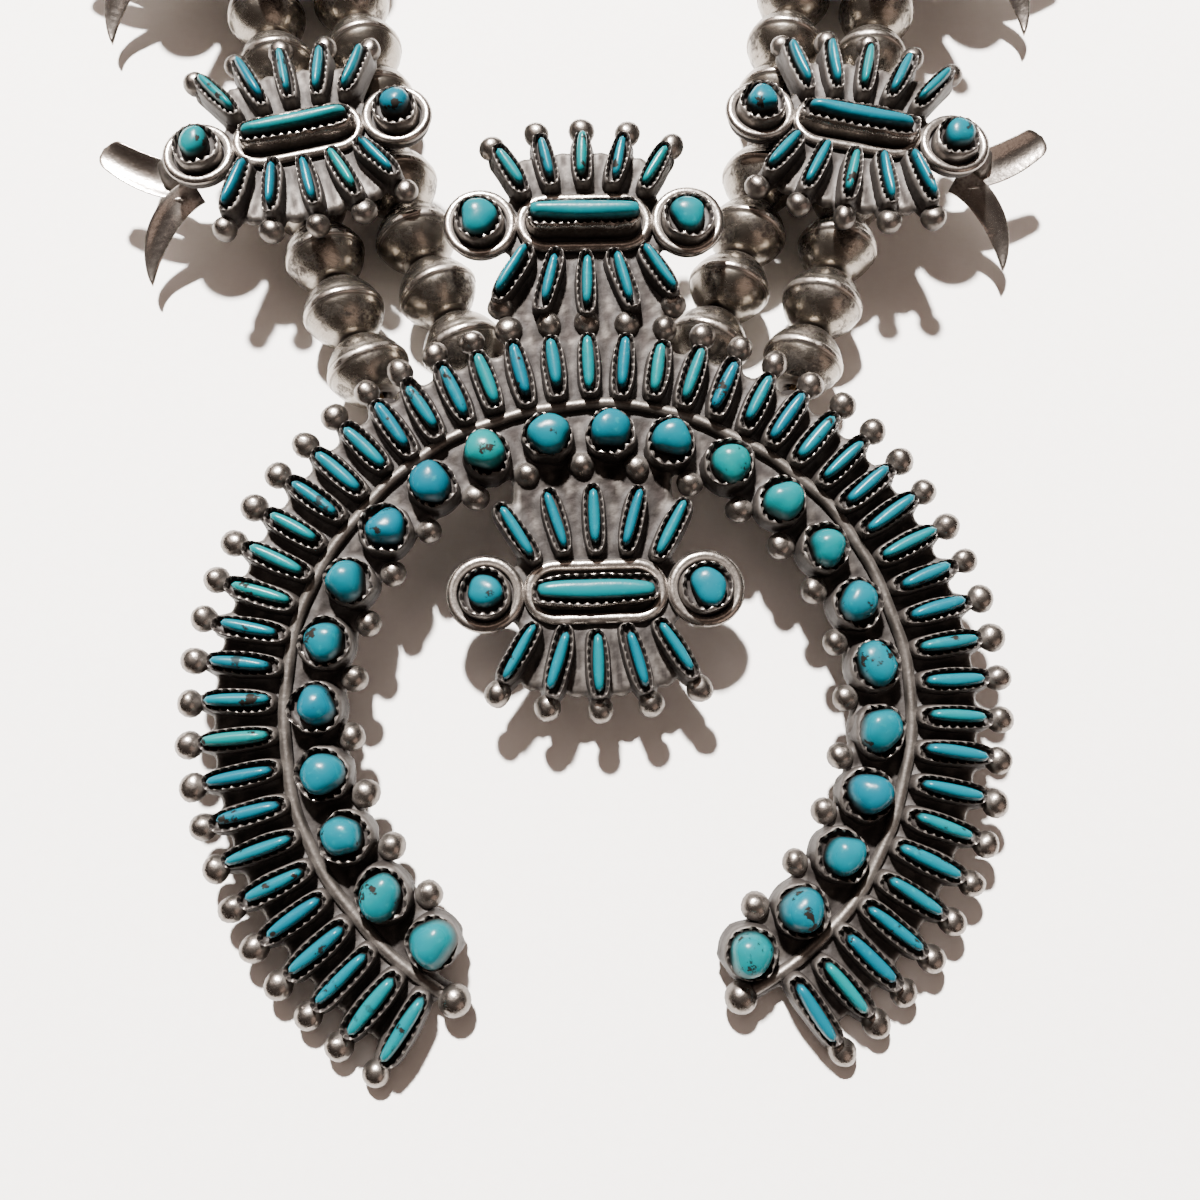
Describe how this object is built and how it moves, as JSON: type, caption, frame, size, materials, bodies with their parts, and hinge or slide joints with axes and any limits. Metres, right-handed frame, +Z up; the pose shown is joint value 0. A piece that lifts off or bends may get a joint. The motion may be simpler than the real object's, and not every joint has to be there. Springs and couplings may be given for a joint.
{
  "type": "squash blossom necklace",
  "caption": "Silver squash blossom necklace with a stone-set crescent pendant, flower-shaped blossoms with turquoise faces and two strands of round beads on each side, lying flat.",
  "frame": {"origin": "centre of the footprint, on the surface the necklace lies on", "axes": "+Z up from the surface, -Y towards the crescent pendant, +Y towards the clasp, +X to the wearer's left as seen from the front"},
  "size_m": [0.1608, 0.3365, 0.0159],
  "materials": {
    "silver": "oxidised silver, dark in its recesses and worn bright on its edges",
    "turquoise": "polished turquoise with a few small darker spots",
    "beads": "worn silver with a brownish tarnish and fine scratches",
    "thread": "waxed thread"
  },
  "bodies": {
    "root": {"naja_silver": "silver", "blossom_left_1": "silver", "blossom_left_2": "silver", "blossom_left_3": "silver", "blossom_left_4": "silver", "blossom_left_5": "silver", "blossom_right_1": "silver", "blossom_right_2": "silver", "blossom_right_3": "silver", "blossom_right_4": "silver", "blossom_right_5": "silver", "needle_stones": "turquoise", "top_cluster_stones": "turquoise", "drop_cluster_stones": "turquoise", "round_stone_01": "turquoise", "round_stone_02": "turquoise", "round_stone_03": "turquoise", "round_stone_04": "turquoise", "round_stone_05": "turquoise", "round_stone_06": "turquoise", "round_stone_07": "turquoise", "round_stone_08": "turquoise", "round_stone_09": "turquoise", "round_stone_10": "turquoise", "round_stone_11": "turquoise", "round_stone_12": "turquoise", "round_stone_13": "turquoise", "round_stone_14": "turquoise", "round_stone_15": "turquoise", "round_stone_16": "turquoise", "round_stone_17": "turquoise", "round_stone_18": "turquoise", "round_stone_19": "turquoise", "round_stone_20": "turquoise", "round_stone_21": "turquoise", "round_stone_22": "turquoise", "round_stone_23": "turquoise", "blossom_left_1_stones": "turquoise", "blossom_left_2_stones": "turquoise", "blossom_left_3_stones": "turquoise", "blossom_left_4_stones": "turquoise", "blossom_left_5_stones": "turquoise", "blossom_right_1_stones": "turquoise", "blossom_right_2_stones": "turquoise", "blossom_right_3_stones": "turquoise", "blossom_right_4_stones": "turquoise", "blossom_right_5_stones": "turquoise", "strand_inner_left": "beads", "strand_outer_left": "beads", "strand_inner_right": "beads", "strand_outer_right": "beads", "threads": "thread", "clasp": "silver"}
  },
  "joints": []
}
